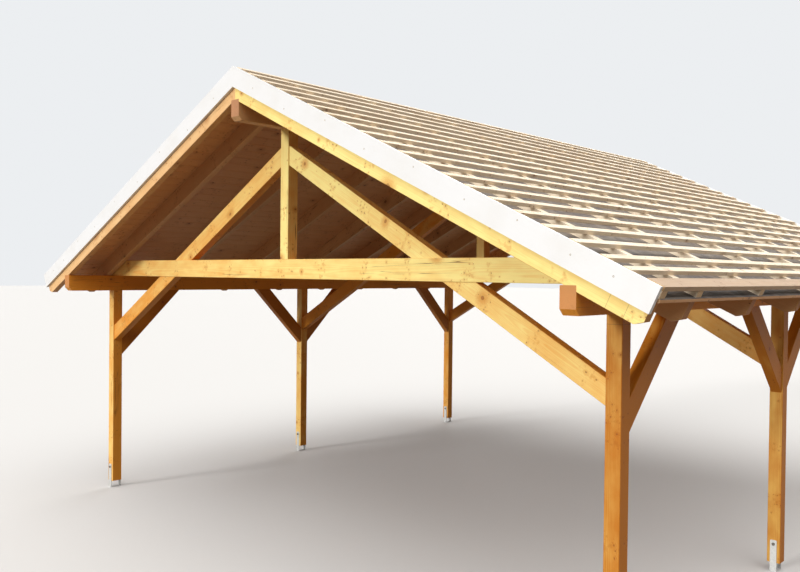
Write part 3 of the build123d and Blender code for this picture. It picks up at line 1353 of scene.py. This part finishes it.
@dataclass
class Underlay:
    """Roof underlay in lapped strips, slightly creased between the counter-battens."""

    shop: Workshop
    strip: float = 1.35
    first_strip: float = 0.35
    lap_step: float = 0.0009
    crease: float = 0.0022
    crease_scale: float = 3.4
    thickness: float = 0.0008
    lift: float = 0.0001
    cells_down: int = 131
    cells_along: int = 167

    def build(self) -> None:
        """Lay the sheet of both slopes in place of the plain ones."""
        start = ROOF.ridge_u(ROOF.sheathing_top)
        values = {
            "Length": ROOF.tail_u + ROOF.sheathing_lap - start, "Width": 2 * ROOF.verge_y, "Start": start,
            "Cells Down": self.cells_down, "Cells Along": self.cells_along, "Lap Step": self.lap_step,
            "Strip": self.strip, "First Strip": self.first_strip, "Crease Height": self.crease,
            "Crease Scale": self.crease_scale, "Finish": UNDERLAY_SHEET.material(self.shop.groups),
        }
        for side in Side:
            values["Seed"] = 2.0 + side.value
            name = f"underlay_sheet_{side.word}"
            piece = grown(name, self.shop.sheet, values, thickness=self.thickness)
            piece.data.transform(ROOF.matrix(side, ROOF.sheathing_top + self.lift))
            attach(piece, BODY)
            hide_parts(f"underlay_{side.word}")
            log.info("laid %s", name)


@dataclass
class Laths:
    """Counter-battens, battens, eaves boards and their nails."""

    shop: Workshop
    pitch: float = 0.196
    first_edge: float = 0.230
    ridge_edge: float = 0.076
    width: float = 0.050
    courses: int = 18
    eaves_gap: float = 0.168
    counter_width: float = 0.060
    batten_tone: float = 0.25
    eaves_tone: float = 0.4
    counter_tone: float = 0.02
    nail_outline: tuple = ((0.0024, 0.0), (0.0034, 0.0004), (0.0032, 0.0009))
    nail_sunk: float = 0.0004
    nail_stray: tuple = (0.008, 0.009)

    def edges(self) -> list[float]:
        """Lower edge of each batten.

        Returns:
            The u of each edge, from the ridge to the eaves.
        """
        ridge = ROOF.ridge_u(ROOF.batten_top)
        even = [self.first_edge + ridge + self.pitch * index for index in range(self.courses)]
        return [self.ridge_edge + ridge] + even + [ROOF.tail_u - self.eaves_gap]

    def build(self) -> None:
        """Dress the laths and nail each crossing."""
        dress = self.shop.dress
        start = self.edges()[1] - self.width - (self.pitch - self.width) / 2
        for side in Side:
            down = ROOF.down(side)
            axes = timber_axes(ALONG_Y, down)
            centre = ROOF.point(side, start, 0.0, ROOF.batten_top)
            values = {"tone": self.batten_tone, "pitch": self.pitch, "centre": centre}
            dress(f"battens_{side.word}", RAW_BATTEN, axes, seed=81.0 + side.value, **values)
            values = {"tone": self.eaves_tone, "seed": 87.0 + side.value}
            dress(f"eaves_board_{side.word}", EAVES_BOARD, axes, **values)
            node = f"counter_battens_{side.word}"
            values = {"tone": self.counter_tone, "seed": 91.0 + side.value} | LINES.cells(node)
            dress(node, RAW_BATTEN, timber_axes(down, ALONG_Y), **values)
        self._nail()

    def _nail(self) -> None:
        """Nail the battens of both slopes to the counter-battens."""
        nail = turned("nail_head", self.nail_outline, segments=10)
        steel = NAIL_STEEL.material(self.shop.groups)
        outer = ROOF.verge_y - self.counter_width / 2
        stray_u, stray_y = self.nail_stray
        for side in Side:
            chance = random.Random(11 + side.value)
            seats = []
            for edge in self.edges():
                for y in [-outer] + LINES.rafters + [outer]:
                    u = edge - self.width / 2 + chance.uniform(-stray_u, stray_u)
                    across = y + chance.uniform(-stray_y, stray_y)
                    point = ROOF.point(side, u, across, ROOF.batten_top - self.nail_sunk)
                    seats.append((point, ROOF.normal(side)))
            self.shop.seat_heads(f"batten_nails_{side.word}", nail, seats, steel, seed=13)
        bpy.data.objects.remove(nail)


@dataclass
class BargeBoards:
    """White barge boards with the screws that hold them."""

    shop: Workshop
    thickness: float = 0.025
    screw_sunk: float = 0.0006
    screw_outline: tuple = ((0.0030, 0.0), (0.0050, 0.0008), (0.0047, 0.0012), (0.0024, 0.0004))
    screw_places: tuple = (
        (0.22, 0.150),
        (0.653, 0.125),
        (1.12, 0.190),
        (1.57, 0.144),
        (2.03, 0.190),
        (2.487, 0.160),
        (2.88, 0.196),
        (3.263, 0.165),
        (3.532, 0.170),
    )

    def build(self) -> None:
        """Paint the boards and seat their screws."""
        paint = WHITE_PAINT.material(self.shop.groups)
        zinc = ZINC_SCREW.material(self.shop.groups)
        screw = turned("screw_head", self.screw_outline, segments=14)
        face = ROOF.verge_y + self.thickness - self.screw_sunk
        for end, direction in (("front", -1.0), ("rear", 1.0)):
            seats = []
            for side in Side:
                assign(self.shop.nodes[f"barge_board_{end}_{side.word}"], paint)
                for u, v in self.screw_places:
                    seats.append((ROOF.point(side, u, direction * face, v), ALONG_Y * direction))
            self.shop.seat_heads(f"barge_screws_{end}", screw, seats, zinc, seed=17)
        bpy.data.objects.remove(screw)


@dataclass
class Studio:
    """Camera, floor, lamps and background."""

    eye: tuple = (5.2458, -6.9024, 2.3374)
    yaw: float = 43.912
    pitch: float = -0.844
    roll: float = 0.6096
    focal_pixels: float = 800.5
    picture_width: float = 800.0
    sensor: float = 36.0
    far_clip: float = 500.0
    floor_reach: float = 120.0
    floor_roughness: float = 0.9
    floor_lit: tuple = (0.11, 0.08, 0.055, 1.0)
    floor_shown: tuple = (0.66, 0.66, 0.655, 1.0)
    world_lit: tuple = (1.0, 0.92, 0.83, 1.0)
    world_strength: float = 0.16
    world_shown: tuple = (0.84, 0.86, 0.88, 1.0)

    def build(self) -> None:
        """Make the whole studio."""
        self._camera()
        self._floor()
        self._lamps()
        self._world()
        bpy.context.scene.view_settings.view_transform = "Standard"

    def _camera(self) -> None:
        """Camera at the photograph's place, turn and lens."""
        place = Matrix.Translation(self.eye)
        for degrees, axis in ((self.yaw, "Z"), (90.0 + self.pitch, "X"), (self.roll, "Z")):
            place = place @ Matrix.Rotation(math.radians(degrees), 4, axis)
        lens = bpy.data.cameras.new("camera")
        lens.sensor_width = self.sensor
        lens.lens = self.sensor * self.focal_pixels / self.picture_width
        lens.clip_end = self.far_clip
        camera = linked("camera", lens)
        camera.matrix_world = place
        bpy.context.scene.camera = camera

    @staticmethod
    def _seen(graph: Graph) -> Value:
        """Mask of the rays that show the background, straight, mirrored or through glass.

        Args:
            graph: graph that the mask is for.

        Returns:
            The mask, 1 for such a ray.
        """
        path = graph.add("ShaderNodeLightPath")
        seen = graph.most(path["Is Camera Ray"], path["Is Glossy Ray"])
        return graph.most(seen, path["Is Transmission Ray"])

    def _floor(self) -> None:
        """Pale floor that reflects less onto the soffit than it shows to the camera."""
        work = bmesh.new()
        bmesh.ops.create_grid(work, x_segments=1, y_segments=1, size=self.floor_reach)
        floor = mesh_object("studio_floor", work)
        material, graph = new_material("studio_floor")
        colour = graph.mixed(self._seen(graph), self.floor_lit, self.floor_shown)
        graph.give({"Base Color": colour, "Roughness": self.floor_roughness})
        assign(floor, material)

    def _lamps(self) -> None:
        """Soft key from the front left, a wide lamp from above and a weak one from behind."""
        settings = (
            ("key", (-0.19, -0.95, 0.22), 2.0, 12.0, (1.0, 0.98, 0.95)),
            ("top", (0.24, -0.4, 1.0), 3.3, 90.0, (1.0, 0.98, 0.96)),
            ("back", (-0.4, 0.9, 0.35), 1.1, 40.0, (1.0, 0.98, 0.96)),
        )
        for name, towards, strength, spread, colour in settings:
            lamp = bpy.data.lights.new(name, "SUN")
            lamp.energy = strength
            lamp.angle = math.radians(spread)
            lamp.color = colour
            turn = Vector(towards).to_track_quat("Z", "Y")
            linked(name, lamp).rotation_euler = turn.to_euler()

    def _world(self) -> None:
        """Plain world light, pale behind the object."""
        world = bpy.data.worlds.new("studio")
        bpy.context.scene.world = world
        world.use_nodes = True
        world.node_tree.nodes.clear()
        graph = Graph(world.node_tree, world.node_tree.nodes.new("ShaderNodeOutputWorld"))
        kind = "ShaderNodeBackground"
        lit = graph.add(kind, {"Color": self.world_lit, "Strength": self.world_strength})
        pale = graph.add(kind, {"Color": self.world_shown, "Strength": 1.0})
        values = {0: self._seen(graph), 1: lit, 2: pale}
        graph.give({"Surface": graph.add("ShaderNodeMixShader", values)})


def main() -> None:
    """Build the studio, then every sub-assembly of the carport in order."""
    logging.basicConfig(level=logging.INFO, format="%(name)s: %(message)s")
    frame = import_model()
    shop = Workshop(frame["nodes"], ShaderGroups(), heads_tree(), boards_tree(), sheet_tree())
    assemblies = (
        Studio(),
        Posts(shop),
        Purlins(shop),
        Trusses(shop),
        Rafters(shop),
        Sheathing(shop),
        Underlay(shop),
        Laths(shop),
        BargeBoards(shop),
    )
    for assembly in assemblies:
        assembly.build()
        log.info("built %s", type(assembly).__name__)


if __name__ == "__main__":
    main()
